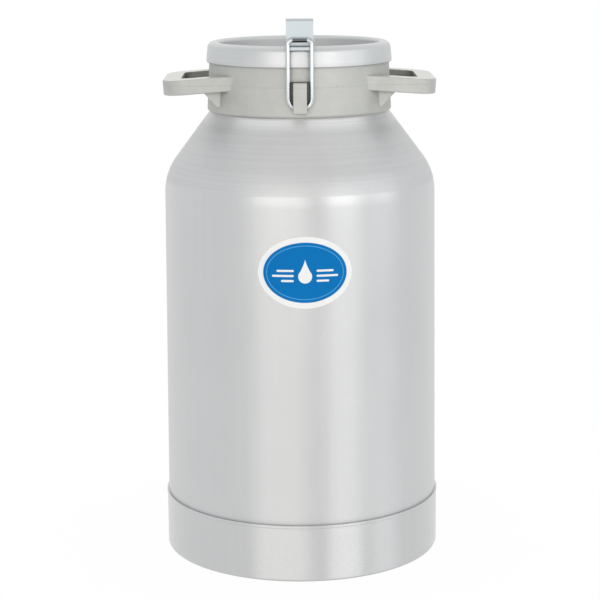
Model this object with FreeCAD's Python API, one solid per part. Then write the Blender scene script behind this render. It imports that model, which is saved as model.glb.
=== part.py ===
import FreeCAD, Part
import math
import os

os.makedirs("parts", exist_ok=True)

# Aluminium milk churn, shut and latched. Millimetres, +Z up, the clasp faces -Y.

# Barrel
barrel_radius = 159.5          # where it enters the base hoop
barrel_draft = 3.0             # how much narrower it is under the shoulder
shoulder_corner = 446.0        # height where the wall's line and the shoulder's line cross
shoulder_bend = 66.0           # radius of the bend there
shoulder_angle = 36.8          # degrees between the shoulder and the vertical
barrel_floor = 12.0            # the underside's height over the ground
floor_bend = 9.0
neck_radius = 97.0
neck_height = 47.0             # of the neck over the collar's foot, up to the lid's underside

# Base hoop
hoop_height = 66.3
hoop_wall = 1.7
hoop_lip = 0.5                 # the top edge stands this much proud
hoop_lip_height = 3.0
hoop_foot_width = 9.0          # inward flange it stands on
hoop_foot_wall = 4.0
hoop_foot_round = 3.0

# Collar casting
collar_wall = 6.3
collar_height = 68.2           # foot to top, inside the lid's skirt
collar_draft = 2.75            # how much wider the wall is at its foot
foot_round = 3.1
casting_bite = 2.0             # how far the arms and the lug run into the collar's wall

# Handles
handle_half_depth = 68.0       # along Y, to the outside of each arm
handle_thickness = 16.8
handle_rise = 27.1             # collar's foot to the handle's underside, at its root
handle_droop = 4.2             # degrees that the handle falls towards the grip
handle_corner = 26.0
handle_edge = 1.3              # rounding of every long edge
arm_width = 23.0
grip_width = 21.3
hand_gap = 27.6                # between the collar's foot and the grip
hand_corner = 9.0
arm_blend = 28.0               # hollow rounding where an arm's outside face runs into the collar
blend_seat = 0.1               # how far that rounding's end lies inside the collar's wall
rib_thickness = 8.0
rib_inset = 12.3               # arm's outside face to the rib's outside face
rib_reach = 19.3               # how far the rib runs out under the arm
rib_drop = 16.5
rib_toe = 3.6                  # width left at the rib's lower end
rib_root = 8.0                 # length of rib inside the collar, before it is cut to the wall
rib_toe_round = 1.2

# Lug on the front of the collar, where the wire turns
lug_width = 15.2
lug_height = 34.0
lug_rise = 6.0                 # collar's foot to the lug's underside
lug_reach = 11.4               # beyond the collar's wall at the top
lug_pocket = 4.1               # width of the slot on each side
lug_pocket_depth = 7.6
lug_pocket_top = 0.5           # slot's top over the lug's top
lug_pocket_rise = 7.4          # slot's foot over the lug's underside
lug_edge = 1.0

# Lid
lid_clearance = 0.6            # skirt to collar
skirt_wall = 1.0
skirt_height = 12.5            # below the collar's top
rim_inset = 0.5                # skirt's outside to the rim's outside, at the crest
bead_proud = 1.4               # how much wider than the skirt the lower edge is
bead_height = 4.5
bead_round = 10.0
rim_rise = 10.6                # crest over the collar's top
rim_width = 12.0
rim_outer_round = 7.6
rim_inner_round = 4.0
dish_draft = 2.5
dish_bend = 6.0
dish_floor = 2.6
plug_clearance = 0.2

# Clasp
wire_radius = 2.4
wire_half_width = 12.95        # loop's centre line, across
wire_top_bend = 5.1
wire_foot_bend = 9.4
wire_clearance = 0.35          # to the lid's bead and in the lug's hole
wire_foot_rise = 12.6          # collar's foot to the lower bar's centre
lever_height = 27.0            # underside of the hook to the top
lever_half_width = 15.0
lever_depth = 15.0
lever_flange_depth = 8.0       # of the side flanges above the pivot
lever_flange_low = 5.0         # pivot up to where the flanges begin to narrow
lever_flange_high = 9.0        # pivot up to where they are narrow
lever_flange_round = 4.0
lever_flange_hollow = 3.0
lever_foot_gap = 0.6           # bracket's top to the flanges
sheet_edge = 0.4               # rounding of a cut edge of sheet
sheet = 1.8                    # thickness of the pressed steel pieces
sheet_bend = 3.2
hook_reach = 6.0               # from the lever's face, under the wire
hook_rise = 1.7                # bracket's top to the hook's underside
hook_edge = 0.6
hook_root = 3.0                # of the hook, up the lever's face
pin_radius = 2.0
pin_clearance = 0.1
pin_head_radius = 3.3
pin_head = 1.1
pin_setback = 10.2             # lever's face to the pivot
pin_rise = 4.6                 # bracket's top to the pivot's centre
bracket_half_width = 12.0
bracket_lip = 4.0
bracket_leg = 9.0
bracket_ear_trim = 0.4         # how much smaller the ear is than the pivot's height
rivet_radius = 2.4
rivet_head = 1.2
rivet_offset = 6.0
rivet_inset = 1.2              # leg's lower edge to the rivet

# Rear hinge
hinge_ear_wall = 5.0
hinge_ear_radius = 7.0
hinge_pin_radius = 3.0
hinge_pin_gap = 4.0            # lid's bead to the ear
hinge_pin_drop = 3.0           # collar's top down to the pin
hinge_tongue = 17.0
hinge_ear_root = 26.0          # height of the ear's root on the collar
hinge_ear_bite = 3.0           # of the ear and the tongue, into what they grow from
hinge_ear_toe = 3.0            # of the ear's lower end, out from the collar's wall
hinge_ear_below = 3.0          # lid's skirt down to the web under it
hinge_ear_belly = 6.0          # web down to where the ear's face begins to slope
hinge_ear_bend = 8.0
hinge_slot_in = 4.0            # collar's wall out to the slot between the ears
hinge_slot_drop = 8.0
hinge_pin_end = 0.8            # of the pin, beyond each ear
hinge_pin_chamfer = 0.5
hinge_pad_low = 0.6            # bead's lower edge up to the tongue's pad
hinge_pad_high = 4.5           # pin's centre up to the pad's top
knuckle_trim = 0.6             # how much smaller the knuckle is than the ears
side_gap = 0.4

# Label
label_half_width = 52.5        # along the barrel's wall
label_half_height = 40.0
label_height = 354.8
label_turn = 1.4               # degrees round from the clasp
label_thickness = 0.3

fit_gap = 0.05                 # between pieces that seat on each other

over = 1.0                     # how far a cut runs past what it cuts
far = 5.0                      # the same, for the large cuts
half_cut = 20.0                # half the length of a cut across the clasp or the hinge
arc_slack = 0.1                # straight left between the two arcs of a round end
touch = 0.01                   # tolerance for edges that lie in a plane

V = FreeCAD.Vector
UP = V(0, 0, 1)


def outline(points, place):
    """Closed wire through (u, v, corner radius) points; place(u, v) gives the vector."""
    edges = []
    starts = []
    ends = []
    count = len(points)
    for i in range(count):
        u, v, radius = points[i]
        pu, pv = points[i - 1][:2]
        nu, nv = points[(i + 1) % count][:2]
        back = math.hypot(pu - u, pv - v)
        ahead = math.hypot(nu - u, nv - v)
        bu, bv = (pu - u) / back, (pv - v) / back
        au, av = (nu - u) / ahead, (nv - v) / ahead
        if radius <= 0:
            starts.append((u, v))
            ends.append((u, v))
            edges.append(None)
            continue
        half = math.acos(max(-1.0, min(1.0, bu * au + bv * av))) / 2
        cut = radius / math.tan(half)
        reach = radius / math.sin(half)
        mu, mv = bu + au, bv + av
        size = math.hypot(mu, mv)
        near = (reach - radius) / size
        starts.append((u + bu * cut, v + bv * cut))
        ends.append((u + au * cut, v + av * cut))
        middle = (u + mu * near, v + mv * near)
        arc = Part.Arc(place(*starts[-1]), place(*middle), place(*ends[-1]))
        edges.append(arc.toShape())
    run = []
    for i in range(count):
        if edges[i] is not None:
            run.append(edges[i])
        a = place(*ends[i])
        b = place(*starts[(i + 1) % count])
        if a.distanceToPoint(b) > 1e-6:
            run.append(Part.LineSegment(a, b).toShape())
    return Part.Wire(run)


def turned(points):
    """Solid of revolution from (radius, height, corner radius) points."""
    wire = outline(points, lambda r, z: V(r, 0, z))
    return Part.Face(wire).revolve(V(0, 0, 0), UP, 360)


def plate_x(points, half):
    """Plate with a (y, z, corner radius) outline, centred on x = 0."""
    wire = outline(points, lambda y, z: V(-half, y, z))
    return Part.Face(wire).extrude(V(2 * half, 0, 0))


def plate_y(points, low, high):
    """Plate with an (x, z, corner radius) outline from y = low to y = high."""
    wire = outline(points, lambda x, z: V(x, low, z))
    return Part.Face(wire).extrude(V(0, high - low, 0))


def plate_z(points, low, high):
    """Plate with an (x, y, corner radius) outline from z = low to z = high."""
    wire = outline(points, lambda x, y: V(x, y, low))
    return Part.Face(wire).extrude(V(0, 0, high - low))


def box(x0, x1, y0, y1, z0, z1):
    return Part.makeBox(x1 - x0, y1 - y0, z1 - z0, V(x0, y0, z0))


def rod_x(radius, x0, x1, y, z):
    return Part.makeCylinder(radius, x1 - x0, V(x0, y, z), V(1, 0, 0))


def drum(radius, z0, z1):
    return Part.makeCylinder(radius, z1 - z0, V(0, 0, z0), UP)


def mirrored_x(shape):
    return shape.mirror(V(0, 0, 0), V(1, 0, 0))


def mirrored_y(shape):
    return shape.mirror(V(0, 0, 0), V(0, 1, 0))


def save(shape, node):
    if shape.ShapeType != "Solid":
        shape = shape.removeSplitter()
        if len(shape.Solids) == 1:
            shape = shape.Solids[0]
    shape.exportStep("parts/" + node + ".step")
    print(node, "solids", len(shape.Solids), "valid", shape.isValid(), "cm3", round(shape.Volume / 1000, 1))


# Heights and radii that follow from the sizes above
slope = math.tan(math.radians(shoulder_angle))
high_radius = barrel_radius - barrel_draft


def shoulder_at(radius):
    """Height of the shoulder's line at a radius."""
    return shoulder_corner + (high_radius - radius) / slope


bore = neck_radius + fit_gap
collar_radius = bore + collar_wall
wall_foot_radius = collar_radius + collar_draft
foot_radius = wall_foot_radius - foot_round
foot = shoulder_at(foot_radius)
mouth = foot + neck_height + (collar_height - neck_height) / 2
collar_top = foot + collar_height
draft_top = collar_top - skirt_height - 1.0


def collar_at(height):
    """Radius of the collar's drafted wall at a height."""
    return collar_radius + collar_draft * (draft_top - height) / (draft_top - foot)


def barrel_solid(proud):
    """The barrel, or the same form standing proud of its wall by a small amount."""
    seat = shoulder_at(neck_radius)
    return turned([
        (0, barrel_floor, 0),
        (barrel_radius + proud, barrel_floor, floor_bend),
        (barrel_radius + proud, hoop_height, 0),
        (high_radius + proud, shoulder_corner, shoulder_bend),
        (neck_radius, seat + proud, 0),
        (neck_radius, mouth, 0),
        (0, mouth, 0),
    ])


barrel = barrel_solid(0)
save(barrel, "barrel")

# Base hoop: a band shrunk on the barrel, standing on an inward flange
hoop_inside = barrel_radius + fit_gap
hoop_radius = hoop_inside + hoop_wall
lip_radius = hoop_radius + hoop_lip
hoop = turned([
    (hoop_inside, hoop_height, 0.4),
    (lip_radius, hoop_height, 0.8),
    (lip_radius, hoop_height - hoop_lip_height, 0.4),
    (hoop_radius, hoop_height - hoop_lip_height - hoop_lip, 0.4),
    (hoop_radius, 0, hoop_foot_round),
    (hoop_radius - hoop_foot_width, 0, 1.0),
    (hoop_radius - hoop_foot_width, hoop_foot_wall, 1.0),
    (hoop_inside, hoop_foot_wall, 1.5),
])
save(hoop, "base_hoop")

# Collar: ring, handles, ribs, lug and hinge ears in one casting
ring = turned([
    (bore, shoulder_at(bore) + fit_gap, 0),
    (foot_radius, foot + fit_gap, 0),
    (wall_foot_radius, foot + fit_gap, foot_round - arc_slack),
    (collar_radius, draft_top, 0),
    (collar_radius, collar_top, 0.6),
    (bore, collar_top, 0.6),
])
grip_inside = wall_foot_radius + hand_gap
handle_reach = grip_inside + grip_width
hand_half = handle_half_depth - arm_width
handle_low = foot + handle_rise
handle_high = handle_low + handle_thickness
root_radius = collar_at((handle_low + handle_high) / 2)
root_x = math.sqrt(root_radius ** 2 - handle_half_depth ** 2)
blend_wall = collar_at(handle_high) - blend_seat
blend_x = math.sqrt((blend_wall + arm_blend) ** 2 - (handle_half_depth + arm_blend) ** 2)
blend_turn = math.atan2(handle_half_depth + arm_blend, blend_x)
touch_x = blend_wall * math.cos(blend_turn)
touch_y = blend_wall * math.sin(blend_turn)
corner_x = touch_x + (touch_y - handle_half_depth) * math.tan(blend_turn)
tip_x = touch_x - math.sin(blend_turn)
tip_y = touch_y + math.cos(blend_turn)
loop = plate_z([
    (handle_reach, -handle_half_depth, handle_corner),
    (handle_reach, handle_half_depth, handle_corner),
    (corner_x, handle_half_depth, arm_blend),
    (tip_x, tip_y, 0),
    (0, hand_half, 0),
    (0, -hand_half, 0),
    (tip_x, -tip_y, 0),
    (corner_x, -handle_half_depth, arm_blend),
], handle_low, handle_high)
hand_hole = plate_z([
    (grip_inside, -hand_half, hand_corner),
    (grip_inside, hand_half, hand_corner),
    (-over, hand_half, 0),
    (-over, -hand_half, 0),
], handle_low - over, handle_high + over)
loop = loop.cut(hand_hole)


def is_long_edge(edge):
    """Edges of the loop's top and underside that show outside the collar."""
    box_of = edge.BoundBox
    flat = box_of.ZLength < touch
    return flat and box_of.XMax > root_x - casting_bite


loop = loop.makeFillet(handle_edge, [e for e in loop.Edges if is_long_edge(e)])
loop.rotate(V(root_x, 0, handle_high), V(0, 1, 0), handle_droop)
fall = math.tan(math.radians(handle_droop))
rib_outside = handle_half_depth - rib_inset
rib_foot_x = math.sqrt(collar_at(handle_low - rib_drop / 2) ** 2 - rib_outside ** 2)
rib_end_x = rib_foot_x + rib_reach
rib_end_z = handle_low - (rib_end_x - root_x) * fall
rib_lean = (rib_reach - rib_toe) / rib_drop
rib_high = handle_low + handle_edge
rib = plate_y([
    (rib_foot_x - rib_root, rib_high, 0),
    (rib_end_x + (rib_high - rib_end_z) * rib_lean, rib_high, 0),
    (rib_foot_x + rib_toe, rib_end_z - rib_drop, rib_toe_round),
    (rib_foot_x - rib_root, rib_end_z - rib_drop, 0),
], -rib_outside, rib_thickness - rib_outside)
arms = loop.fuse([rib, mirrored_y(rib)])
arms = arms.cut(drum(collar_radius - casting_bite, foot - far, collar_top + far))
collar = ring.fuse([arms, mirrored_x(arms)])

# The lug stands in a slot in the collar's wall, with a cross hole for the wire
lug_low = foot + lug_rise
lug_high = lug_low + lug_height
lug_half = lug_width / 2
lug_face = -(collar_radius + lug_reach)
pocket_half = lug_half + lug_pocket
pocket_back = -(collar_at(lug_low) - lug_pocket_depth)
pocket_low = lug_low + lug_pocket_rise
pocket_high = lug_high + lug_pocket_top
pocket = box(-pocket_half, pocket_half, lug_face - far, pocket_back, pocket_low, pocket_high)
lug = box(-lug_half, lug_half, lug_face, pocket_back + casting_bite, lug_low, lug_high)
lug = lug.cut([drum(bore, foot, collar_top), barrel_solid(fit_gap)])
lug = lug.makeFillet(lug_edge, [e for e in lug.Edges if e.BoundBox.YMax < lug_face + touch])

# Where the lid's bead and the bracket come, which the wire has to clear
skirt_inside = collar_radius + lid_clearance
skirt_radius = skirt_inside + skirt_wall
skirt_low = collar_top - skirt_height
bead_radius = skirt_radius + bead_proud
rim_radius = skirt_radius - rim_inset
crest = collar_top + rim_rise
flare = (bead_radius - rim_radius) / (crest - skirt_low - bead_height)
rim_front = rim_radius + flare * bracket_lip + fit_gap

# The lug's cross hole, long enough upward for the wire's lower bends
wire_y = -(max(bead_radius, rim_front + sheet) + wire_radius + wire_clearance)
wire_low = foot + wire_foot_rise
hole_radius = wire_radius + wire_clearance
foot_x = wire_half_width - wire_foot_bend
bend_inside = wire_foot_bend - wire_radius
in_lug = min(max(lug_half - foot_x, 0), bend_inside)
climb = bend_inside - math.sqrt(bend_inside ** 2 - in_lug ** 2)
hole_end = lug_half + over
hole = rod_x(hole_radius, -hole_end, hole_end, wire_y, wire_low)
if climb > 0:
    high_hole = rod_x(hole_radius, -hole_end, hole_end, wire_y, wire_low + climb)
    hole_front = wire_y - hole_radius
    hole_back = wire_y + hole_radius
    between = box(-hole_end, hole_end, hole_front, hole_back, wire_low, wire_low + climb)
    hole = hole.fuse([high_hole, between])
collar = collar.cut(pocket).fuse(lug).cut(hole)

# Hinge ears at the back, outside the lid's bead
hinge_y = bead_radius + hinge_pin_gap + hinge_ear_radius
hinge_z = collar_top - hinge_pin_drop
ear_in = hinge_tongue / 2 + side_gap
ear_out = ear_in + hinge_ear_wall
ear_face = hinge_y + hinge_ear_radius
ear_root = skirt_low - hinge_ear_below
ear_inside = hinge_y - hinge_ear_radius
ear = plate_x([
    (collar_radius - hinge_ear_bite, ear_root - hinge_ear_root, 0),
    (collar_radius + hinge_ear_toe, ear_root - hinge_ear_root, 1.5),
    (ear_face, ear_root - hinge_ear_belly, hinge_ear_bend),
    (ear_face, hinge_z + hinge_ear_radius, hinge_ear_radius - arc_slack),
    (ear_inside, hinge_z + hinge_ear_radius, hinge_ear_radius - arc_slack),
    (ear_inside, ear_root, 2.0),
    (collar_radius - hinge_ear_bite, ear_root, 0),
], ear_out)
slot_in = collar_radius + hinge_slot_in
slot_low = ear_root - hinge_slot_drop
ear = ear.cut(box(-ear_in, ear_in, slot_in, ear_face + over, slot_low, hinge_z + half_cut))
ear = ear.cut(rod_x(hinge_pin_radius + fit_gap, -ear_out - over, ear_out + over, hinge_y, hinge_z))
collar = collar.fuse(ear)
save(collar, "collar")

# Lid: dished cap that plugs the collar's bore
seat = collar_top + fit_gap
plug_radius = bore - plug_clearance
underside = mouth + fit_gap
dish_radius = skirt_radius - rim_width
dish_low = underside + dish_floor
lid = turned([
    (0, dish_low, 0),
    (dish_radius - dish_draft, dish_low, dish_bend),
    (dish_radius, crest, rim_inner_round),
    (rim_radius, crest, rim_outer_round),
    (bead_radius, skirt_low + bead_height, bead_round),
    (bead_radius, skirt_low, 1.2),
    (skirt_inside, skirt_low, 0.5),
    (skirt_inside, seat, 0),
    (plug_radius, seat, 0),
    (plug_radius, underside, 1.0),
    (0, underside, 0),
])
save(lid, "lid")

# Clasp bracket: a saddle over the rim, with two ears for the lever's pivot
saddle_low = crest + fit_gap
saddle_high = saddle_low + sheet
leg_wall = dish_radius - dish_draft * (bracket_leg + over) / (crest - dish_low)
leg_face = math.sqrt(leg_wall ** 2 - bracket_half_width ** 2) - fit_gap
lip_front = -(rim_front + sheet)
leg_back = -(leg_face - sheet)
saddle = plate_x([
    (lip_front, saddle_high, sheet_bend),
    (lip_front, saddle_low - bracket_lip, sheet_edge),
    (-rim_front, saddle_low - bracket_lip, sheet_edge),
    (-rim_front, saddle_low, sheet_bend - sheet),
    (-leg_face, saddle_low, sheet_bend - sheet),
    (-leg_face, saddle_low - bracket_leg, sheet_edge),
    (leg_back, saddle_low - bracket_leg, sheet_edge),
    (leg_back, saddle_high, sheet_bend),
], bracket_half_width)
lever_front = wire_y + wire_radius + fit_gap
pin_y = lever_front + pin_setback
pin_z = saddle_high + pin_rise
ear_radius = pin_rise - bracket_ear_trim
lobe = plate_x([
    (pin_y - ear_radius, pin_z + ear_radius, ear_radius - arc_slack),
    (pin_y - ear_radius, saddle_high - sheet / 2, 0),
    (pin_y + ear_radius, saddle_high - sheet / 2, 0),
    (pin_y + ear_radius, pin_z + ear_radius, ear_radius - arc_slack),
], bracket_half_width)
lobe_in = bracket_half_width - sheet
lobe_end = 2 * ear_radius
lobe = lobe.cut(box(-lobe_in, lobe_in, pin_y - lobe_end, pin_y + lobe_end, saddle_high, pin_z + lobe_end))
bracket = saddle.fuse(lobe)
bracket = bracket.cut(rod_x(pin_radius + pin_clearance, -half_cut, half_cut, pin_y, pin_z))
save(bracket, "clasp_bracket")

# Lever: pressed channel, standing up when shut, with a hook under the wire
hook_low = saddle_high + hook_rise
wire_high = hook_low + sheet + fit_gap + wire_radius
lever_top = hook_low + lever_height
lever_back = lever_front + lever_depth
lever_mid = lever_front + lever_flange_depth
flange_low = saddle_high + lever_foot_gap
outer = plate_x([
    (lever_front, lever_top, sheet_bend),
    (lever_front, flange_low, 1.0),
    (lever_back, flange_low, lever_flange_round),
    (lever_back, pin_z + lever_flange_low, lever_flange_round),
    (lever_mid, pin_z + lever_flange_high, lever_flange_hollow),
    (lever_mid, lever_top, hook_edge),
], lever_half_width)
inner_half = lever_half_width - sheet
inner = plate_x([
    (lever_front + sheet, lever_top - sheet, sheet_bend - sheet),
    (lever_front + sheet, flange_low - over, 0),
    (lever_back + over, flange_low - over, 0),
    (lever_back + over, lever_top - sheet, 0),
], inner_half)
lever = outer.cut(inner)
window = wire_half_width - wire_top_bend
face_cut = box(-half_cut, half_cut, lever_front - over, lever_front + sheet, flange_low - over, hook_low)
lever = lever.cut(face_cut)
slot_top = hook_low + sheet + hook_root
hook = plate_x([
    (lever_front + sheet, hook_low, sheet_bend),
    (lever_front - hook_reach, hook_low, hook_edge),
    (lever_front - hook_reach, hook_low + sheet, hook_edge),
    (lever_front, hook_low + sheet, sheet_bend - sheet),
    (lever_front, slot_top, 0),
    (lever_front + sheet, slot_top, 0),
], window)
slot = box(-inner_half, inner_half, lever_front - over, lever_front + sheet, hook_low - over, slot_top)
lever = lever.cut(slot).fuse(hook)
lever = lever.cut(rod_x(pin_radius + pin_clearance, -half_cut, half_cut, pin_y, pin_z))
save(lever, "clasp_lever")

# Pivot pin with a head at each end, outside the lever's flanges
pin_half = lever_half_width + fit_gap
pin = rod_x(pin_radius, -pin_half - pin_head, pin_half + pin_head, pin_y, pin_z)
head = rod_x(pin_head_radius, pin_half, pin_half + pin_head, pin_y, pin_z)
head_end = [e for e in head.Edges if e.BoundBox.XMin > pin_half + pin_head - touch]
head = head.makeFillet(pin_head * 0.6, head_end)
pin = pin.fuse([head, mirrored_x(head)])
save(pin, "clasp_pin")

# Wire: one closed loop, through the lug below and in the lever's hook above


def straight(x0, z0, x1, z1):
    run = V(x1 - x0, 0, z1 - z0)
    return Part.makeCylinder(wire_radius, run.Length, V(x0, wire_y, z0), run)


def bend(x, z, radius, first):
    """Quarter turn of the wire about a point, starting at an angle in degrees."""
    turn = math.radians(first)
    at = V(x + radius * math.cos(turn), wire_y, z + radius * math.sin(turn))
    ring_edge = Part.makeCircle(wire_radius, at, V(-math.sin(turn), 0, math.cos(turn)))
    return Part.Face(Part.Wire([ring_edge])).revolve(V(x, wire_y, z), V(0, -1, 0), 90)


top_x = wire_half_width - wire_top_bend
top_z = wire_high - wire_top_bend
foot_z = wire_low + wire_foot_bend
wire = straight(-top_x, wire_high, top_x, wire_high).fuse([
    bend(top_x, top_z, wire_top_bend, 0),
    straight(wire_half_width, foot_z, wire_half_width, top_z),
    bend(foot_x, foot_z, wire_foot_bend, 270),
    straight(-foot_x, wire_low, foot_x, wire_low),
    bend(-foot_x, foot_z, wire_foot_bend, 180),
    straight(-wire_half_width, foot_z, -wire_half_width, top_z),
    bend(-top_x, top_z, wire_top_bend, 90),
])
save(wire, "clasp_wire")

# Rivets through the bracket's inner leg
for side, name in ((-1, "bracket_rivet_left"), (1, "bracket_rivet_right")):
    rivet_z = saddle_low - bracket_leg + rivet_radius + rivet_inset
    at = V(side * rivet_offset, leg_back + fit_gap, rivet_z)
    rivet = Part.makeCylinder(rivet_radius, rivet_head, at, V(0, 1, 0))
    rim = [e for e in rivet.Edges if e.BoundBox.YMin > leg_back + rivet_head - touch]
    rivet = rivet.makeFillet(rivet_head * 0.7, rim)
    save(rivet, name)

# Hinge tongue: a pad on the lid's bead, with a knuckle between the collar's ears
knuckle_radius = hinge_ear_radius - knuckle_trim
tongue = plate_x([
    (bead_radius - hinge_ear_bite, skirt_low + hinge_pad_low, 0),
    (hinge_y, hinge_z - knuckle_radius, 0),
    (hinge_y + knuckle_radius, hinge_z - knuckle_radius, knuckle_radius - arc_slack),
    (hinge_y + knuckle_radius, hinge_z + knuckle_radius, knuckle_radius - arc_slack),
    (hinge_y, hinge_z + knuckle_radius, 0),
    (bead_radius - hinge_ear_bite, hinge_z + hinge_pad_high, 0),
], hinge_tongue / 2)
tongue = tongue.cut(drum(bead_radius + fit_gap, skirt_low - far, crest))
tongue = tongue.cut(rod_x(hinge_pin_radius + pin_clearance, -half_cut, half_cut, hinge_y, hinge_z))
save(tongue, "hinge_tongue")
pin_end = ear_out + hinge_pin_end
hinge_pin = rod_x(hinge_pin_radius, -pin_end, pin_end, hinge_y, hinge_z)
end_circles = [e for e in hinge_pin.Edges if e.Curve.TypeId == "Part::GeomCircle"]
hinge_pin = hinge_pin.makeChamfer(hinge_pin_chamfer, end_circles)
save(hinge_pin, "hinge_pin")

# Label: an oval sticker that follows the wall
wall_here = barrel_radius - barrel_draft * (label_height - hoop_height) / (shoulder_corner - hoop_height)
half_x = wall_here * math.sin(label_half_width / wall_here)
oval = Part.Ellipse(V(0, 0, 0), max(half_x, label_half_height), min(half_x, label_half_height)).toShape()
oval = Part.Face(Part.Wire([oval])).extrude(V(0, 0, 2 * wall_here))
if half_x < label_half_height:
    oval.rotate(V(0, 0, 0), UP, 90)
oval.rotate(V(0, 0, 0), V(1, 0, 0), 90)
oval.translate(V(0, 0, label_height))
shell = barrel_solid(fit_gap + label_thickness).cut(barrel_solid(fit_gap))
label = oval.common(shell)
label.rotate(V(0, 0, 0), UP, label_turn)
save(label, "label")
print("top", round(lever_top, 1), "crest", round(crest, 1))
print("foot", round(foot, 1), "reach", round(handle_reach, 1))
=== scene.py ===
import math

import bpy
from mathutils import Matrix, Vector


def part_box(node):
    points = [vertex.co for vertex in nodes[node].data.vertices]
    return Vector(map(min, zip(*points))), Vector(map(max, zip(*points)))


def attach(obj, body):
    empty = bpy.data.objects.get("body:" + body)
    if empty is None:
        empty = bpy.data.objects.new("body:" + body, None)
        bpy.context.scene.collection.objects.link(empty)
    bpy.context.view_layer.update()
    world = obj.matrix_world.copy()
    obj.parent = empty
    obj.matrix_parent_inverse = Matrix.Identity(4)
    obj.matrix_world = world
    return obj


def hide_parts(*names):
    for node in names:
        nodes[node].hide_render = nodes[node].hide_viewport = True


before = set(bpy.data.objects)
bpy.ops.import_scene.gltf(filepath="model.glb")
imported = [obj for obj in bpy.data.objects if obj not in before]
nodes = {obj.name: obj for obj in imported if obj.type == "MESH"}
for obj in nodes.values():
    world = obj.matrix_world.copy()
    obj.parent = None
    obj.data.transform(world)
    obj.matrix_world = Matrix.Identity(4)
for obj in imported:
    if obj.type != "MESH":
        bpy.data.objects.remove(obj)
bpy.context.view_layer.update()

MM = 0.001

# Sizes of the churn in millimetres, +Z up, the clasp faces -Y
fit_gap = 0.05                 # between pieces that seat on each other

barrel_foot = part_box("barrel")[0].z / MM
barrel_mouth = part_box("barrel")[1].z / MM
barrel_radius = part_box("barrel")[1].x / MM
barrel_draft = 3.0
shoulder_corner = 446.0
shoulder_bend = 66.0
shoulder_angle = 36.8
floor_bend = 9.0
neck_radius = 97.0

hoop_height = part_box("base_hoop")[1].z / MM
hoop_lip_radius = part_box("base_hoop")[1].x / MM
hoop_lip = 0.5
hoop_lip_height = 3.0
hoop_foot_width = 9.0
hoop_foot_wall = 4.0
hoop_foot_round = 3.0
hoop_foot_edge = 1.0
hoop_foot_root = 1.5
hoop_lip_round = 0.7
hoop_lip_root = 0.4
hoop_crevice = 0.06            # open joint between the hoop's top edge and the barrel
hoop_crevice_depth = 5.0
hoop_crevice_taper = 1.0
hoop_crevice_round = 0.12
hoop_radius = hoop_lip_radius - hoop_lip
joint_radius = barrel_radius + hoop_crevice

lid_skirt_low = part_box("lid")[0].z / MM
lid_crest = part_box("lid")[1].z / MM
bead_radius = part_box("lid")[1].x / MM
bead_proud = 1.4
bead_height = 4.5
bead_round = 10.0
bead_edge = 1.2
skirt_radius = bead_radius - bead_proud
skirt_wall = 1.0
skirt_edge = 0.5
rim_inset = 0.5
rim_width = 12.0
rim_rise = 10.6
rim_outer_round = 7.6
rim_inner_round = 4.0
rim_radius = skirt_radius - rim_inset
dish_radius = skirt_radius - rim_width
dish_draft = 2.5
dish_bend = 6.0
dish_floor = 2.6
lid_under = barrel_mouth + fit_gap
dish_low = lid_under + dish_floor
plug_gap = 0.15                # around the lid's plug, in the neck
plug_edge = 1.0
plug_radius = neck_radius - plug_gap
collar_top = lid_crest - rim_rise
lid_seat = collar_top + fit_gap

wire_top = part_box("clasp_wire")[1].z / MM
grip_inside = 133.7            # axis to the inside of a handle's grip
hand_half = 45.0               # half of the hand gap's length
collar_foot_radius = 106.1
parting_height = 551.3         # where the casting's two mould halves met

label_half_width = 52.5
label_half_height = 40.0
label_height = 354.8
label_turn = math.radians(1.4)
label_film = 0.35              # the film's face, out from the wall

high_radius = barrel_radius - barrel_draft
slope = math.tan(math.radians(shoulder_angle))


def wall_radius(height):
    """Radius of the barrel's drafted wall at a height."""
    return barrel_radius - barrel_draft * (height - hoop_height) / (shoulder_corner - hoop_height)


# ---------------------------------------------------------------- geometry

def rounded(points, closed=False, step=6.0):
    """Polyline through (u, v, corner radius) points with every corner turned by an arc."""
    run = []
    count = len(points)
    for i, (u, v, radius) in enumerate(points):
        if radius <= 0 or (not closed and i in (0, count - 1)):
            run.append((u, v))
            continue
        pu, pv = points[i - 1][:2]
        nu, nv = points[(i + 1) % count][:2]
        back = Vector((pu - u, pv - v)).normalized()
        ahead = Vector((nu - u, nv - v)).normalized()
        half = math.acos(max(-1.0, min(1.0, back.dot(ahead)))) / 2
        cut = radius / math.tan(half)
        centre = Vector((u, v)) + (back + ahead).normalized() * radius / math.sin(half)
        start = Vector((u, v)) + back * cut - centre
        turn = math.pi - 2 * half
        side = 1 if start.cross(ahead) > 0 else -1
        parts = max(2, round(math.degrees(turn) / step))
        for k in range(parts + 1):
            spin = Matrix.Rotation(side * turn * k / parts, 2)
            run.append(tuple(centre + spin @ start))
    return run


def divided(run, longest, closed=False):
    """The same polyline with no piece longer than a length."""
    result = []
    count = len(run)
    for i in range(count if closed else count - 1):
        a = Vector(run[i])
        b = Vector(run[(i + 1) % count])
        parts = max(1, math.ceil((b - a).length / longest))
        for k in range(parts):
            result.append(tuple(a.lerp(b, k / parts)))
    if not closed:
        result.append(tuple(run[-1]))
    return result


def build(name, verts, faces, sharp=32.0):
    """Smooth-shaded piece from points in millimetres, sharp where faces meet at over an angle."""
    mesh = bpy.data.meshes.new(name)
    mesh.from_pydata([Vector(v) * MM for v in verts], [], faces)
    mesh.validate()
    for polygon in mesh.polygons:
        polygon.use_smooth = True
    mesh.set_sharp_from_angle(angle=math.radians(sharp))
    piece = bpy.data.objects.new(name, mesh)
    bpy.context.scene.collection.objects.link(piece)
    return piece


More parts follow.
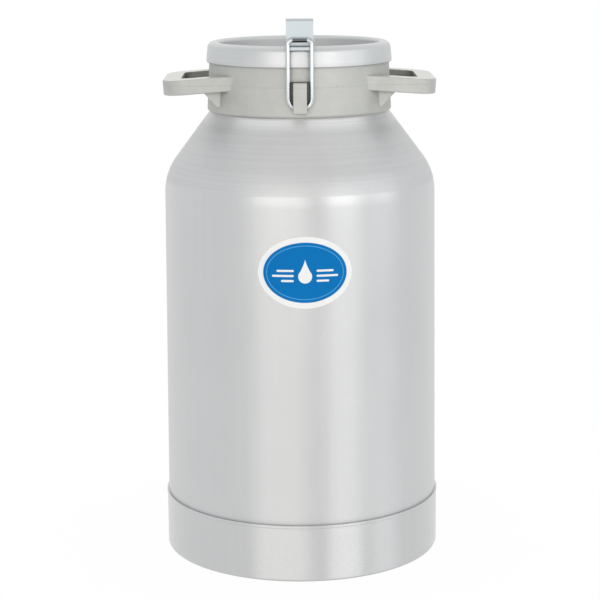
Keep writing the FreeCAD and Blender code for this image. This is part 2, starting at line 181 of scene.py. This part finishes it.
def lathe(name, run, around=240, closed=False):
    """Turns a (radius, height) polyline about Z. Points on the axis close to one vertex."""
    verts, rings, faces = [], [], []
    for r, z in run:
        if r < 1e-6:
            rings.append([len(verts)] * around)
            verts.append((0, 0, z))
            continue
        rings.append(list(range(len(verts), len(verts) + around)))
        for k in range(around):
            a = 2 * math.pi * k / around
            verts.append((r * math.cos(a), r * math.sin(a), z))
    count = len(rings)
    for i in range(count if closed else count - 1):
        low, high = rings[i], rings[(i + 1) % count]
        for k in range(around):
            n = (k + 1) % around
            face = [low[k], low[n], high[n], high[k]]
            faces.append([v for j, v in enumerate(face) if v != face[j - 1]])
    return build(name, verts, faces)


# ---------------------------------------------------------------- materials

crevice_open = 0.85            # share of open space before a face at which there is no painted shade
crevice_shut = 0.25            # share at which the painted shade is darkest


class Look:
    """A node material with short calls for the nodes it needs."""

    def __init__(self, name):
        self.material = bpy.data.materials.new(name)
        self.material.use_nodes = True
        self.tree = self.material.node_tree
        self.tree.nodes.clear()
        self.out = self.tree.nodes.new("ShaderNodeOutputMaterial")
        self.shader = self.node("ShaderNodeBsdfPrincipled")
        self.tree.links.new(self.shader.outputs[0], self.out.inputs["Surface"])
        self.place = self.node("ShaderNodeTexCoord").outputs["Object"]

    def node(self, kind, inputs=None, **settings):
        made = self.tree.nodes.new(kind)
        for key, value in settings.items():
            setattr(made, key, value)
        for key, value in (inputs or {}).items():
            self.feed(made.inputs[key], value)
        return made

    def feed(self, socket, value):
        if isinstance(value, bpy.types.NodeSocket):
            self.tree.links.new(value, socket)
        else:
            socket.default_value = value

    def set(self, **inputs):
        """Feeds the shader's own inputs."""
        for key, value in inputs.items():
            self.feed(self.shader.inputs[key.replace("_", " ")], value)

    def maths(self, operation, a, b=0.0):
        return self.node("ShaderNodeMath", {0: a, 1: b}, operation=operation).outputs[0]

    def plus(self, a, b):
        return self.maths("ADD", a, b)

    def minus(self, a, b):
        return self.maths("SUBTRACT", a, b)

    def times(self, a, b):
        return self.maths("MULTIPLY", a, b)

    def size(self, a):
        """A value without its sign."""
        return self.maths("ABSOLUTE", a)

    def stretch(self, x, y, z, shift=0.0):
        """Coordinates that run faster or slower along each axis."""
        inputs = {"Vector": self.place, "Scale": (x, y, z), "Location": (shift, shift, shift)}
        return self.node("ShaderNodeMapping", inputs).outputs[0]

    def noise(self, vector, scale=1.0, detail=2.0, rough=0.5):
        inputs = {"Vector": vector, "Scale": scale, "Detail": detail, "Roughness": rough}
        return self.node("ShaderNodeTexNoise", inputs).outputs[0]

    def range(self, value, low, high, to_low=0.0, to_high=1.0, smooth=False):
        inputs = {"Value": value, "From Min": low, "From Max": high, "To Min": to_low, "To Max": to_high}
        made = self.node("ShaderNodeMapRange", inputs)
        if smooth:
            made.interpolation_type = "SMOOTHSTEP"
        return made.outputs[0]

    def spread(self, noise, low, high):
        """Noise between two values. Its own values lie mostly between 0.3 and 0.7."""
        return self.range(noise, 0.3, 0.7, low, high)

    def rise(self, low, high, to_low=0.0, to_high=1.0):
        """Smooth change from one height in millimetres to another."""
        return self.range(self.axis("Z"), low * MM, high * MM, to_low, to_high, smooth=True)

    def mix(self, share, a, b):
        made = self.node("ShaderNodeMix", data_type="RGBA")
        self.feed(made.inputs[0], share)
        self.feed(made.inputs[6], a)
        self.feed(made.inputs[7], b)
        return made.outputs[2]

    def toned(self, colour, tone):
        """A colour made lighter or darker by a tone."""
        return self.node("ShaderNodeVectorMath", {0: colour, 3: tone}, operation="SCALE").outputs[0]

    def axis(self, name, vector=None):
        split = self.node("ShaderNodeSeparateXYZ", {0: vector or self.place})
        return split.outputs[name]

    def radius(self):
        """Distance from the churn's upright axis, in metres."""
        flat = self.node("ShaderNodeVectorMath", {0: self.place, 1: (1, 1, 0)}, operation="MULTIPLY")
        length = self.node("ShaderNodeVectorMath", {0: flat.outputs[0]}, operation="LENGTH")
        return length.outputs["Value"]

    def upward(self, low, high):
        """1 where the surface faces up, 0 where it stands upright."""
        facing = self.node("ShaderNodeTexCoord").outputs["Normal"]
        return self.range(self.axis("Z", facing), low, high)

    def bump(self, height, strength, distance, under=None):
        inputs = {"Height": height, "Strength": strength, "Distance": distance}
        if under is not None:
            inputs["Normal"] = under
        return self.node("ShaderNodeBump", inputs).outputs[0]

    def soft_edges(self, radius):
        return self.node("ShaderNodeBevel", {"Radius": radius}, samples=4).outputs[0]

    def painted_crevice_shade(self, reach, darkest):
        """Painted shade: 1 on open faces, down to the darkest value deep in corners within a reach."""
        near = self.node("ShaderNodeAmbientOcclusion", {"Distance": reach}, samples=8).outputs["AO"]
        return self.range(near, crevice_shut, crevice_open, darkest, 1.0)

    def specks(self, scale, share, size):
        """Sparse round specks: 1 inside, 0 elsewhere."""
        cells = self.node("ShaderNodeTexVoronoi", {"Vector": self.place, "Scale": scale})
        pick = self.axis("X", cells.outputs["Color"])
        chosen = self.maths("GREATER_THAN", pick, 1 - share)
        near = self.range(cells.outputs["Distance"], size, size * 0.5)
        return self.times(chosen, near)


turned_low = 438.0             # the turned shoulder starts above this height
turned_blend = 1.2             # half of the height over which it changes
turned_tone = 0.03             # how much lighter the turned part is
turned_rough = 0.12            # how much rougher it is
plain_lines = 0.18             # strength of the lines below it
broad_share = 0.6              # share of the broad lines in the relief
painted_neck_light = 1.36             # painted light: brighter close to the neck, to lift the shade below the collar
painted_neck_light_low = 499.0
painted_neck_light_high = 519.0
speck_shade = 0.28             # how much darker a speck is
brushed = 0.5                  # how far a highlight is stretched upright


def sheet_aluminium(name, shade, roughness, turned=True):
    """Satin sheet with faint cloudy tone, fine horizontal lines, a few specks and painted light close to
    the neck.
    """
    look = Look(name)
    lines = look.noise(look.stretch(5, 5, 1400), detail=3, rough=0.6)
    broad = look.noise(look.stretch(3, 3, 260, shift=3.1), detail=2)
    cloud = look.noise(look.stretch(16, 16, 9, shift=1.7), detail=3, rough=0.55)
    drawn = look.noise(look.stretch(150, 150, 3, shift=5.3), detail=2)
    grain = look.noise(look.place, scale=1900, detail=2)
    zone = look.rise(turned_low - turned_blend, turned_low + turned_blend) if turned else 0.0
    weight = look.range(zone, 0, 1, plain_lines, 1.0)
    relief = look.times(look.plus(lines, look.times(broad, broad_share)), weight)

    tone = look.plus(look.spread(cloud, 0.975, 1.025), look.spread(drawn, -0.008, 0.008))
    tone = look.plus(tone, look.times(look.spread(lines, -0.05, 0.05), weight))
    specks = look.specks(scale=95, share=0.05, size=0.07)
    tone = look.minus(tone, look.times(specks, speck_shade))
    # Painted light close to the neck, to lift the shade below the collar.
    neck_light = look.rise(painted_neck_light_low, painted_neck_light_high, 1.0, painted_neck_light)
    tone = look.times(tone, look.plus(neck_light, look.times(zone, turned_tone)))

    rough = look.spread(cloud, roughness - 0.03, roughness + 0.03)
    rough = look.plus(rough, look.times(zone, turned_rough))
    rough = look.plus(rough, look.spread(grain, -0.03, 0.03))
    normal = look.bump(relief, strength=0.5, distance=0.00006)
    normal = look.bump(grain, strength=0.25, distance=0.00004, under=normal)
    tangent = look.node("ShaderNodeTangent", direction_type="RADIAL", axis="Z").outputs[0]
    look.set(Base_Color=look.toned((shade, shade, shade), tone), Metallic=1.0, Roughness=rough,
             Normal=normal, Tangent=tangent, Anisotropic=brushed, Anisotropic_Rotation=0.25)
    return look.material


pit_shade = 0.25               # how much darker a pit is
parting_shade = 0.07           # how much darker the parting line is
parting_half = 0.2             # half of its width, and where it is gone
parting_half_end = 0.5
cast_edge = 0.7                # how softly the casting's edges catch light
painted_top_light_tone = 0.26          # painted light: how much lighter the upper faces are
cast_worn_polish = 0.27        # how much less rough they are
painted_inner_shade = 0.5              # painted shade: how much darker the handles' inner walls are
inner_margin = 0.6             # how far that reaches past the hand gap's inner walls
inner_end_margin = 0.3         # and past its end walls


def cast_aluminium(name, base):
    """Grainy casting with a few pits and a faint parting line.

    It has painted light on its upper faces, which are also less rough from wear, and painted shade on
    the walls inside the handles and in corners."""
    look = Look(name)
    grain = look.noise(look.place, scale=620, detail=4, rough=0.65)
    lumps = look.noise(look.place, scale=120, detail=3, rough=0.6)
    cloud = look.noise(look.place, scale=34, detail=4, rough=0.62)
    pits = look.specks(scale=170, share=0.05, size=0.16)
    off = look.size(look.minus(look.axis("Z"), parting_height * MM))
    parting = look.range(off, parting_half_end * MM, parting_half * MM)
    # Painted light on upward faces; the same mask makes them less rough, as wear.
    painted_top_light = look.upward(low=0.75, high=0.97)
    # Painted shade on the walls inside the handles.
    across = look.maths("LESS_THAN", look.size(look.axis("X")), (grip_inside + inner_margin) * MM)
    between = look.maths("LESS_THAN", look.size(look.axis("Y")), (hand_half + inner_end_margin) * MM)
    outside = look.maths("GREATER_THAN", look.radius(), (collar_foot_radius + inner_margin) * MM)
    inner = look.times(look.times(across, between), outside)
    inner = look.times(inner, look.minus(1.0, painted_top_light))

    tone = look.plus(look.spread(cloud, 0.95, 1.05), look.spread(grain, -0.05, 0.05))
    tone = look.minus(tone, look.times(pits, pit_shade))
    tone = look.minus(tone, look.times(parting, parting_shade))
    tone = look.plus(tone, look.times(painted_top_light, painted_top_light_tone))
    tone = look.minus(tone, look.times(inner, painted_inner_shade))
    # Painted shade in corners.
    tone = look.times(tone, look.painted_crevice_shade(reach=0.007, darkest=0.66))

    rough = look.minus(look.spread(grain, 0.57, 0.70), look.times(painted_top_light, cast_worn_polish))
    normal = look.bump(lumps, strength=0.35, distance=0.0004, under=look.soft_edges(cast_edge * MM))
    normal = look.bump(grain, strength=0.45, distance=0.00016, under=normal)
    normal = look.bump(look.minus(parting, pits), strength=0.6, distance=0.00015, under=normal)
    look.set(Base_Color=look.toned(base, tone), Metallic=1.0, Roughness=rough, Normal=normal)
    return look.material


painted_dish_shade = 0.15              # painted shade: how much darker the lid's dish is
dish_rough = 0.12              # how much rougher it is
dish_shade_out = 2.5           # where that starts, out from the dish's wall
dish_shade_in = 0.5            # and where it is whole
dish_shade_top = 2.0           # where it starts, below the crest
dish_shade_low = 5.0           # and where it is whole
painted_rim_light_tone = 0.16           # painted light: how much lighter the rim's upper face is


def lid_aluminium(name, base):
    """Smoother pressed and turned sheet, with painted shade in the dish and in corners and painted light
    along the rim's upper face.
    """
    look = Look(name)
    cloud = look.noise(look.place, scale=30, detail=3, rough=0.5)
    lines = look.noise(look.stretch(8, 8, 1100), detail=2)
    grain = look.noise(look.place, scale=1500, detail=2)
    # Painted shade in the dish.
    inside = look.range(look.radius(), (dish_radius + dish_shade_out) * MM,
                        (dish_radius + dish_shade_in) * MM, smooth=True)
    dish = look.times(inside, look.rise(lid_crest - dish_shade_top, lid_crest - dish_shade_low))
    # Painted light on the rim's upper face.
    painted_top_light = look.times(look.upward(low=0.45, high=0.9), look.minus(1.0, dish))

    tone = look.plus(look.spread(cloud, 0.97, 1.03), look.spread(lines, -0.015, 0.015))
    tone = look.minus(tone, look.times(dish, painted_dish_shade))
    # Painted shade in corners.
    tone = look.times(tone, look.painted_crevice_shade(reach=0.008, darkest=0.6))
    tone = look.plus(tone, look.times(painted_top_light, painted_rim_light_tone))

    rough = look.plus(look.spread(cloud, 0.40, 0.46), look.spread(grain, -0.03, 0.03))
    rough = look.plus(rough, look.times(dish, dish_rough))
    normal = look.bump(lines, strength=0.3, distance=0.00005)
    normal = look.bump(grain, strength=0.2, distance=0.00003, under=normal)
    look.set(Base_Color=look.toned(base, tone), Metallic=1.0, Roughness=rough, Normal=normal)
    return look.material


painted_bar_shade = 0.8                # painted shade: how much darker the wire's top bar is where the hook holds it, under the lever
bar_shade_top = 1.4                  # depth below the wire's top from which the painted shade is whole
bar_shade_deep = 5.0                 # depth down to which it is
bar_shade_deep_end = 5.6             # and where it is gone
bar_shade_half = 7.6                 # half of its length
bar_shade_half_end = 8.6             # and where it is gone
plated_edge = 0.3              # how softly the plated pieces' edges catch light


def plated_steel(name, base, rough_low, rough_high, reach, painted_corner_shade, painted_top_light=0.0, paint_bar_shade=False):
    """Plated steel with painted shade in corners and painted light on upward faces. The wire's top bar
    can get painted shade where the hook holds it, under the lever.
    """
    look = Look(name)
    cloud = look.noise(look.place, scale=70, detail=3, rough=0.55)
    grain = look.noise(look.place, scale=1600, detail=2)
    # Painted shade in corners and painted light on upward faces.
    tone = look.times(look.spread(cloud, 0.98, 1.02), look.painted_crevice_shade(reach, painted_corner_shade))
    tone = look.plus(tone, look.times(look.upward(low=0.3, high=0.8), painted_top_light))
    if paint_bar_shade:
        # Painted shade on the wire's top bar below the lever.
        height = look.axis("Z")
        low = look.range(height, wire_top * MM, (wire_top - bar_shade_top) * MM)
        deep = look.range(height, (wire_top - bar_shade_deep_end) * MM, (wire_top - bar_shade_deep) * MM)
        middle = look.range(look.size(look.axis("X")), bar_shade_half_end * MM, bar_shade_half * MM)
        bar_shade_mask = look.times(look.times(low, deep), middle)
        tone = look.times(tone, look.minus(1.0, look.times(bar_shade_mask, painted_bar_shade)))
    rough = look.spread(cloud, rough_low, rough_high)
    normal = look.bump(grain, strength=0.1, distance=0.00002, under=look.soft_edges(plated_edge * MM))
    look.set(Base_Color=look.toned(base, tone), Metallic=1.0, Roughness=rough, Normal=normal)
    return look.material


# The sticker's print, in millimetres from its middle
field_half = (46.5, 33.5)      # blue oval
ring_outer = (43.0, 30.2)      # thin pale line, its outer edge
ring_inner = (42.2, 29.4)      # and its inner edge
drop_radius = 7.6              # the drop's round part
drop_middle = -4.2             # height of that part's middle
drop_tip = 15.0                # height of the drop's point
drop_join = 1.5                # the point starts this far over the round part's middle
drop_blunt = 0.6               # what is cut off the point
drop_taper = 1.35              # 1 is a straight cone, more is hollower
drop_shoulder = 0.985          # the point's width where it starts, of the round part's
bar_start = 12.5               # from the middle to the bars' inner ends
bar_half = 1.15                # half of a bar's thickness
bars = ((2.2, 9.5), (-3.4, 12.0), (-9.0, 7.0))     # height and half length of each pair
print_blue = (0.0, 0.178, 0.505, 1.0)
print_pale = (0.10, 0.40, 0.78, 1.0)
print_white = (0.93, 0.935, 0.93, 1.0)


def label_print(name):
    """Film with a printed oval: a blue field, a thin pale line, a drop and three pairs of bars."""
    look = Look(name)
    spot = look.node("ShaderNodeUVMap", uv_map="print").outputs[0]
    u = look.times(look.minus(look.axis("X", spot), 0.5), 2 * label_half_width)
    v = look.times(look.minus(look.axis("Y", spot), 0.5), 2 * label_half_height)

    def squared(value):
        return look.maths("POWER", value, 2.0)

    def length(a, b):
        return look.maths("SQRT", look.plus(squared(a), squared(b)))

    def oval(half, edge):
        reach = length(look.maths("DIVIDE", u, half[0]), look.maths("DIVIDE", v, half[1]))
        soft = edge / min(half)
        return look.range(reach, 1 + soft, 1 - soft)

    def bar(middle, half_long, edge=0.15):
        """Rounded bar on both sides of the middle line, from bar_start outwards."""
        along = look.size(look.minus(look.size(u), bar_start + half_long))
        along = look.maths("MAXIMUM", look.minus(along, half_long - bar_half), 0.0)
        across = look.minus(v, middle)
        return look.range(length(along, across), bar_half + edge, bar_half - edge)

    def either(masks):
        found = masks[0]
        for mask in masks[1:]:
            found = look.maths("MAXIMUM", found, mask)
        return found

    def drop(edge=0.2):
        """A round part below and a hollow-sided point above."""
        reach = length(u, look.minus(v, drop_middle))
        round_part = look.range(reach, drop_radius + edge, drop_radius - edge)
        climb = look.range(v, drop_middle + drop_join, drop_tip)
        width = look.maths("POWER", look.minus(1.0, climb), drop_taper)
        width = look.times(width, drop_radius * drop_shoulder)
        point = look.range(look.minus(width, look.size(u)), -edge, edge)
        point = look.times(point, look.maths("GREATER_THAN", v, drop_middle + drop_join))
        point = look.times(point, look.maths("LESS_THAN", v, drop_tip - drop_blunt))
        return look.maths("MAXIMUM", round_part, point)

    field = oval(field_half, 0.25)
    ring = look.minus(oval(ring_outer, 0.15), oval(ring_inner, 0.15))
    pale_marks = either([drop()] + [bar(middle, half_long) for middle, half_long in bars])
    colour = look.mix(field, print_white, print_blue)
    colour = look.mix(ring, colour, print_pale)
    colour = look.mix(pale_marks, colour, print_white)
    tint = look.noise(look.place, scale=60, detail=2)
    grain = look.noise(look.place, scale=900, detail=2)
    look.set(Base_Color=look.toned(colour, look.spread(tint, 0.98, 1.02)),
             Roughness=look.spread(grain, 0.30, 0.38),
             Normal=look.bump(grain, strength=0.1, distance=0.00003),
             Specular_IOR_Level=0.1)
    return look.material


barrel_metal = sheet_aluminium("barrel_satin", shade=0.60, roughness=0.385)
hoop_metal = sheet_aluminium("hoop_satin", shade=0.575, roughness=0.295, turned=False)
cast_metal = cast_aluminium("collar_cast", (0.548, 0.549, 0.524))
lid_metal = lid_aluminium("lid_satin", (0.60, 0.605, 0.605))
# The plated pieces get painted shade in corners; the zinc also painted light on upward faces.
zinc = plated_steel("zinc_plate", (0.485, 0.525, 0.55), rough_low=0.33, rough_high=0.38,
                    reach=0.004, painted_corner_shade=0.82, painted_top_light=0.22)
bright = plated_steel("bright_wire_steel", (0.58, 0.61, 0.62), rough_low=0.13, rough_high=0.17,
                      reach=0.007, painted_corner_shade=0.22, paint_bar_shade=True)
film = label_print("label_print")


def dress(piece, material):
    piece.data.materials.clear()
    piece.data.materials.append(material)


# ---------------------------------------------------------------- pieces

seat_height = shoulder_corner + (high_radius - neck_radius) / slope
barrel_run = rounded([
    (0, barrel_foot, 0),
    (barrel_radius, barrel_foot, floor_bend),
    (barrel_radius, hoop_height, 0),
    (high_radius, shoulder_corner, shoulder_bend),
    (neck_radius, seat_height, 0),
    (neck_radius, barrel_mouth, 0),
    (0, barrel_mouth, 0),
], step=1.5)
barrel = lathe("barrel_shell", divided(barrel_run, longest=12.0), around=288)
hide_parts("barrel")
dress(barrel, barrel_metal)

hoop_run = rounded([
    (joint_radius, hoop_height, hoop_crevice_round),
    (hoop_lip_radius, hoop_height, hoop_lip_round),
    (hoop_lip_radius, hoop_height - hoop_lip_height, hoop_lip_root),
    (hoop_radius, hoop_height - hoop_lip_height - hoop_lip, hoop_lip_root),
    (hoop_radius, 0, hoop_foot_round),
    (hoop_radius - hoop_foot_width, 0, hoop_foot_edge),
    (hoop_radius - hoop_foot_width, hoop_foot_wall, hoop_foot_edge),
    (barrel_radius + fit_gap, hoop_foot_wall, hoop_foot_root),
    (barrel_radius + fit_gap, hoop_height - hoop_crevice_depth - hoop_crevice_taper, 0),
    (joint_radius, hoop_height - hoop_crevice_depth, 0),
], closed=True, step=12)
hoop_run = divided(hoop_run, longest=12.0, closed=True)
hoop = lathe("base_hoop_band", hoop_run, around=288, closed=True)
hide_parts("base_hoop")
dress(hoop, hoop_metal)

lid_run = rounded([
    (0, dish_low, 0),
    (dish_radius - dish_draft, dish_low, dish_bend),
    (dish_radius, lid_crest, rim_inner_round),
    (rim_radius, lid_crest, rim_outer_round),
    (bead_radius, lid_skirt_low + bead_height, bead_round),
    (bead_radius, lid_skirt_low, bead_edge),
    (skirt_radius - skirt_wall, lid_skirt_low, skirt_edge),
    (skirt_radius - skirt_wall, lid_seat, 0),
    (plug_radius, lid_seat, 0),
    (plug_radius, lid_under, plug_edge),
    (0, lid_under, 0),
])
lid = lathe("lid_pressing", divided(lid_run, longest=10.0))
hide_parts("lid")
dress(lid, lid_metal)


def label_piece():
    """Oval film that follows the barrel's wall, with its print coordinates."""
    rings, around = 20, 144
    plane_half = wall_radius(label_height) * math.sin(label_half_width / wall_radius(label_height))
    verts, spots = [], []

    def point(share, angle, proud):
        x = plane_half * share * math.cos(angle)
        z = label_height + label_half_height * share * math.sin(angle)
        r = wall_radius(z) + proud
        turn = math.asin(x / r) + label_turn
        verts.append((r * math.sin(turn), -r * math.cos(turn), z))
        u = math.asin(x / r) * r / label_half_width
        spots.append((0.5 + u / 2, 0.5 + (z - label_height) / label_half_height / 2))

    point(0, 0, label_film)
    for i in range(1, rings + 1):
        for k in range(around):
            point(i / rings, 2 * math.pi * k / around, label_film)
    for k in range(around):
        point(1.0, 2 * math.pi * k / around, fit_gap)
    faces = []
    for k in range(around):
        n = (k + 1) % around
        faces.append([0, 1 + k, 1 + n])
        for i in range(rings):
            a = 1 + i * around
            b = a + around
            faces.append([a + k, b + k, b + n, a + n])
    piece = build("label_sticker", verts, faces, sharp=50)
    layer = piece.data.uv_layers.new(name="print")
    for corner in piece.data.loops:
        layer.data[corner.index].uv = spots[corner.vertex_index]
    return piece


label = label_piece()
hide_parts("label")
dress(label, film)

for piece in (barrel, hoop, lid, label):
    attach(piece, "root")

for name in ("collar", "hinge_tongue"):
    dress(nodes[name], cast_metal)
for name in ("clasp_bracket", "clasp_lever", "clasp_pin",
             "bracket_rivet_left", "bracket_rivet_right", "hinge_pin"):
    dress(nodes[name], zinc)
dress(nodes["clasp_wire"], bright)

# ---------------------------------------------------------------- stage

scene = bpy.context.scene

world_level = 0.74             # light on matte surfaces
world_overhead = 0.93          # reflected brightness overhead, of the horizon's
world_front = 0.95             # reflected brightness behind the camera
world_aside = (0.95, 0.98, 1.0, 1.0)   # reflected colour to the left and right
overhead_change = (0.25, 0.9)  # share of a ray's direction over which each of them sets in
front_change = (-0.1, -0.85)
aside_change = (0.35, 0.95)
floor_half = 9.0
floor_grey = 0.88
floor_clear_near = 0.97        # share of plain white close to the churn
floor_clear_from = 0.16        # distance from the middle where it starts to rise
floor_clear_to = 0.42          # and where the floor is plain white
floor_satin = 0.40             # share of the lamps' sheen on the floor, in reflections
floor_satin_roughness = 0.22
white = (1.0, 1.0, 1.0, 1.0)


class Tree:
    """Short calls for the nodes of a floor or world tree."""

    def __init__(self, owner):
        owner.use_nodes = True
        self.nodes = owner.node_tree.nodes
        self.links = owner.node_tree.links
        self.nodes.clear()

    def node(self, kind, inputs=None, **settings):
        made = self.nodes.new(kind)
        for key, value in settings.items():
            setattr(made, key, value)
        for key, value in (inputs or {}).items():
            if isinstance(value, bpy.types.NodeSocket):
                self.links.new(value, made.inputs[key])
            else:
                made.inputs[key].default_value = value
        return made

    def maths(self, operation, a, b=0.0):
        return self.node("ShaderNodeMath", {0: a, 1: b}, operation=operation).outputs[0]

    def ramp(self, value, low, high, to_low, to_high):
        inputs = {"Value": value, "From Min": low, "From Max": high, "To Min": to_low, "To Max": to_high}
        return self.node("ShaderNodeMapRange", inputs, interpolation_type="SMOOTHSTEP").outputs[0]

    def blend(self, share, a, b):
        """Mix of two shaders: a where the share is 0, b where it is 1."""
        return self.node("ShaderNodeMixShader", {0: share, 1: a.outputs[0], 2: b.outputs[0]})

    def background(self, colour, strength):
        return self.node("ShaderNodeBackground", {"Color": colour, "Strength": strength})

    def mirrored(self):
        """1 for rays in reflections and through glass."""
        path = self.node("ShaderNodeLightPath")
        return self.maths("MAXIMUM", path.outputs["Is Glossy Ray"], path.outputs["Is Transmission Ray"])

    def camera_ray(self):
        return self.node("ShaderNodeLightPath").outputs["Is Camera Ray"]


def stage_floor():
    """Pale floor: white to the camera and in reflections, with the object's soft shadow near it."""
    mesh = bpy.data.meshes.new("floor")
    corners = [(x * floor_half, y * floor_half, 0) for x, y in ((-1, -1), (1, -1), (1, 1), (-1, 1))]
    mesh.from_pydata(corners, [], [(0, 1, 2, 3)])
    floor = bpy.data.objects.new("floor", mesh)
    scene.collection.objects.link(floor)
    material = bpy.data.materials.new("floor_white")
    tree = Tree(material)
    place = tree.node("ShaderNodeTexCoord").outputs["Object"]
    far = tree.node("ShaderNodeVectorMath", {0: place}, operation="LENGTH").outputs["Value"]
    clear = tree.ramp(far, floor_clear_from, floor_clear_to, floor_clear_near, 1.0)
    seen = tree.maths("MAXIMUM", tree.camera_ray(), tree.mirrored())
    matte = tree.node("ShaderNodeBsdfDiffuse", {"Color": (floor_grey, floor_grey, floor_grey, 1)})
    glow = tree.node("ShaderNodeEmission", {"Color": white, "Strength": 1.0})
    satin = tree.node("ShaderNodeBsdfGlossy", {"Color": white, "Roughness": floor_satin_roughness})
    path = tree.node("ShaderNodeLightPath")
    sheen = tree.maths("MULTIPLY", path.outputs["Is Glossy Ray"], floor_satin)
    shown = tree.blend(sheen, glow, satin)
    whole = tree.blend(tree.maths("MULTIPLY", seen, clear), matte, shown)
    tree.node("ShaderNodeOutputMaterial", {"Surface": whole.outputs[0]})
    mesh.materials.append(material)


def stage_world():
    """White studio: white to the camera and near the horizon.

    In reflections it is greyer overhead and behind the camera, and a little cooler to the sides."""
    world = bpy.data.worlds.new("studio")
    scene.world = world
    tree = Tree(world)
    ray = tree.node("ShaderNodeSeparateXYZ", {0: tree.node("ShaderNodeTexCoord").outputs["Generated"]})
    overhead = tree.ramp(ray.outputs["Z"], *overhead_change, 1.0, world_overhead)
    front = tree.ramp(ray.outputs["Y"], *front_change, 1.0, world_front)
    cool = tree.ramp(tree.maths("ABSOLUTE", ray.outputs["X"]), *aside_change, 0.0, 1.0)
    tint = tree.node("ShaderNodeMix", {0: cool}, data_type="RGBA")
    tint.inputs[6].default_value = white
    tint.inputs[7].default_value = world_aside
    plain = tree.background(white, world_level)
    mirror = tree.background(tint.outputs[2], tree.maths("MULTIPLY", overhead, front))
    lit = tree.blend(tree.mirrored(), plain, mirror)
    whole = tree.blend(tree.camera_ray(), lit, tree.background(white, 1.0))
    tree.node("ShaderNodeOutputWorld", {"Surface": whole.outputs[0]})


lamp_distance = 1.95
lamp_elevation = math.radians(12.5)
lamp_height = 0.80
lamp_aim = Vector((0, 0, 0.33))


def soft_box(name, azimuth, width, power, colour):
    """Rectangular lamp aimed at the churn. Azimuth 0 is in front (-Y), positive to the right."""
    light = bpy.data.lights.new(name, "AREA")
    light.shape = "RECTANGLE"
    light.size = width
    light.size_y = lamp_height
    light.energy = power
    light.color = colour
    lamp = bpy.data.objects.new(name, light)
    scene.collection.objects.link(lamp)
    a = math.radians(azimuth)
    level = math.cos(lamp_elevation)
    away = Vector((math.sin(a) * level, -math.cos(a) * level, math.sin(lamp_elevation)))
    lamp.location = lamp_aim + away * lamp_distance
    lamp.rotation_euler = (-away).to_track_quat("-Z", "Y").to_euler()


stage_floor()
stage_world()
soft_box("key_right", azimuth=35, width=0.95, power=3.8, colour=(1.0, 1.0, 1.0))
soft_box("side_right", azimuth=70, width=0.80, power=1.5, colour=(0.97, 0.99, 1.0))
soft_box("key_left", azimuth=-17, width=1.50, power=4.6, colour=(1.0, 0.985, 0.95))

# Camera: where it stands and how it is turned, in the churn's frame
camera_lens = 112.21
camera_distance = 2.1631
camera_height = 0.7412
camera_pitch = math.radians(11.733)
camera_roll = math.radians(-0.402)
camera_orbit = math.radians(0.45)
camera_swing = math.radians(0.0153)
camera_aside = 0.000214


def stand_camera():
    data = bpy.data.cameras.new("camera")
    data.lens = camera_lens
    data.sensor_width = 36.0
    data.clip_start, data.clip_end = 0.05, 60.0
    camera = bpy.data.objects.new("camera", data)
    scene.collection.objects.link(camera)
    scene.camera = camera
    turn = (Matrix.Rotation(camera_swing - camera_orbit, 4, "Z")
            @ Matrix.Rotation(math.pi / 2 - camera_pitch, 4, "X")
            @ Matrix.Rotation(camera_roll, 4, "Z"))
    stand = Vector((
        -camera_distance * math.sin(camera_orbit) - camera_aside,
        -camera_distance * math.cos(camera_orbit),
        camera_height,
    ))
    camera.matrix_world = Matrix.Translation(stand) @ turn


stand_camera()
scene.view_settings.view_transform = "Standard"
